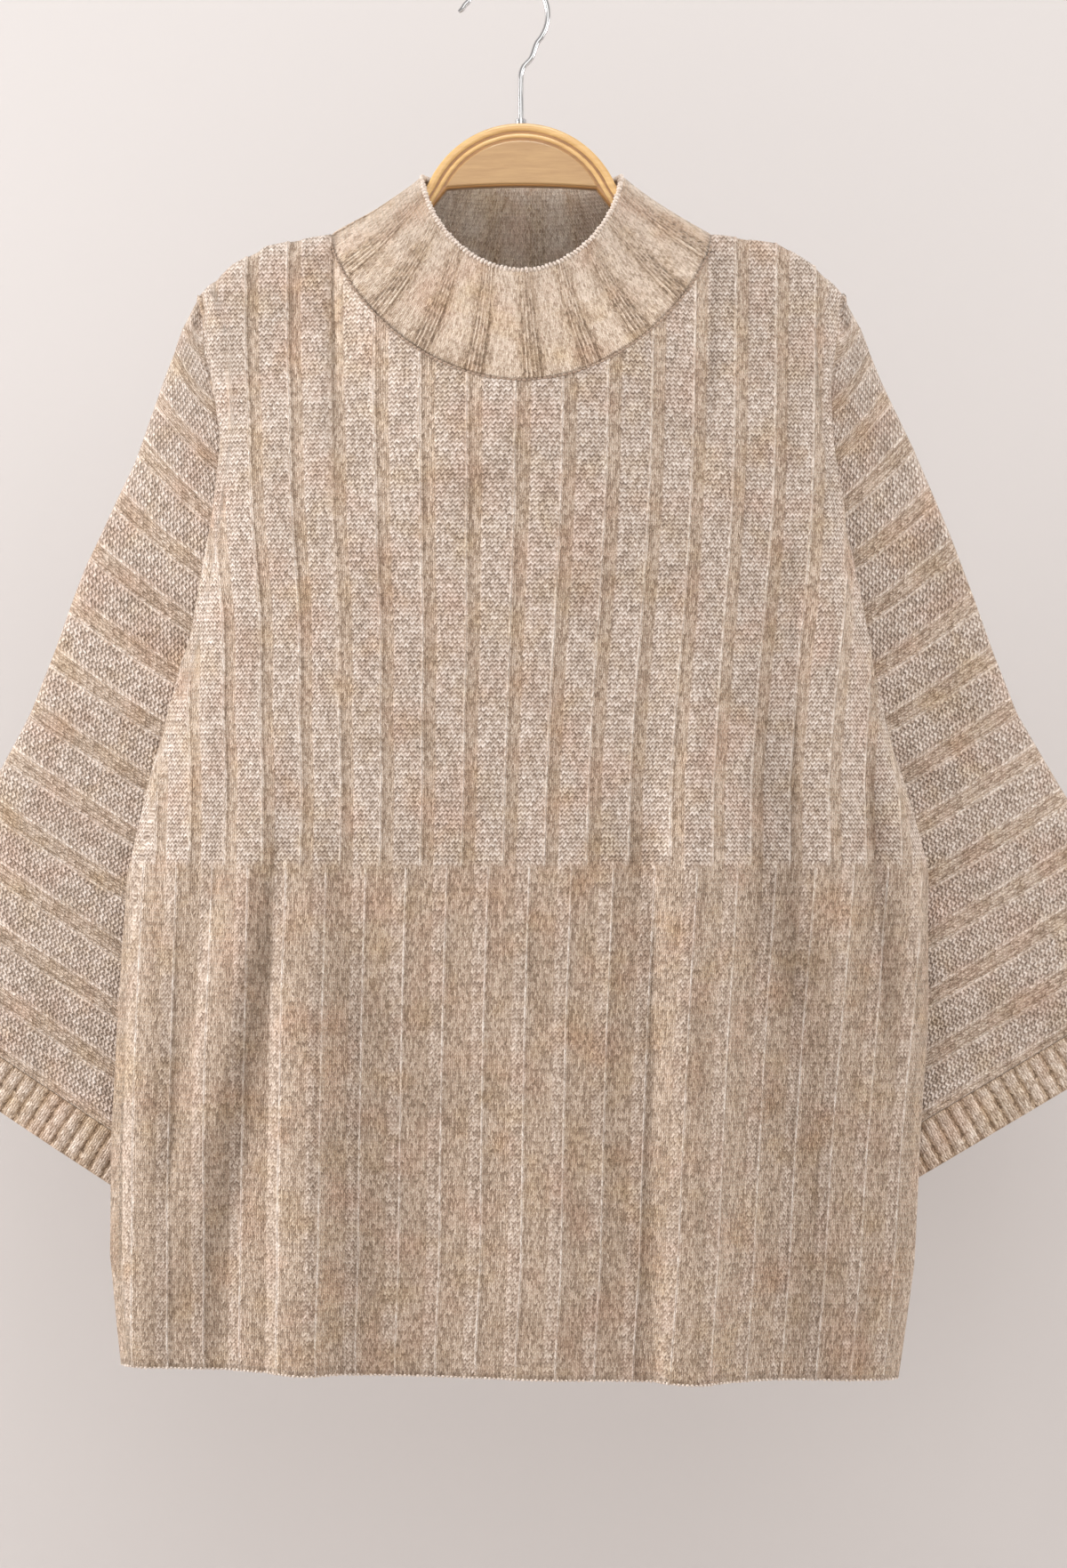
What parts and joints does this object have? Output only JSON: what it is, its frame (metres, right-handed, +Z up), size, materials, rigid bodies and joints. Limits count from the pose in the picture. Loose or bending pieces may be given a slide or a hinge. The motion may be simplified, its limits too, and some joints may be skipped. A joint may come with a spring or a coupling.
{
  "type": "mock neck sweater on a hanger",
  "caption": "Oversized mock neck sweater in wide knitted bands, with dolman sleeves that flare to ribbed cuffs, hung on a flat wooden hanger with a wire hook.",
  "frame": {"origin": "inner top of the hanger's hook, where the rail or peg carries it", "axes": "+X to the viewer's right along the hanger, +Y away from the viewer towards the wall, +Z up"},
  "size_m": [0.8242, 0.106, 0.8537],
  "materials": {
    "knit": "fuzzy wool-blend knit in mixed oatmeal yarn",
    "wood": "clear lacquered light wood",
    "chrome": "bright plated wire"
  },
  "bodies": {
    "root": {"front": "knit", "back": "knit", "collar": "knit", "cuff_left": "knit", "cuff_right": "knit", "hanger": "wood", "hook": "chrome"}
  },
  "joints": []
}
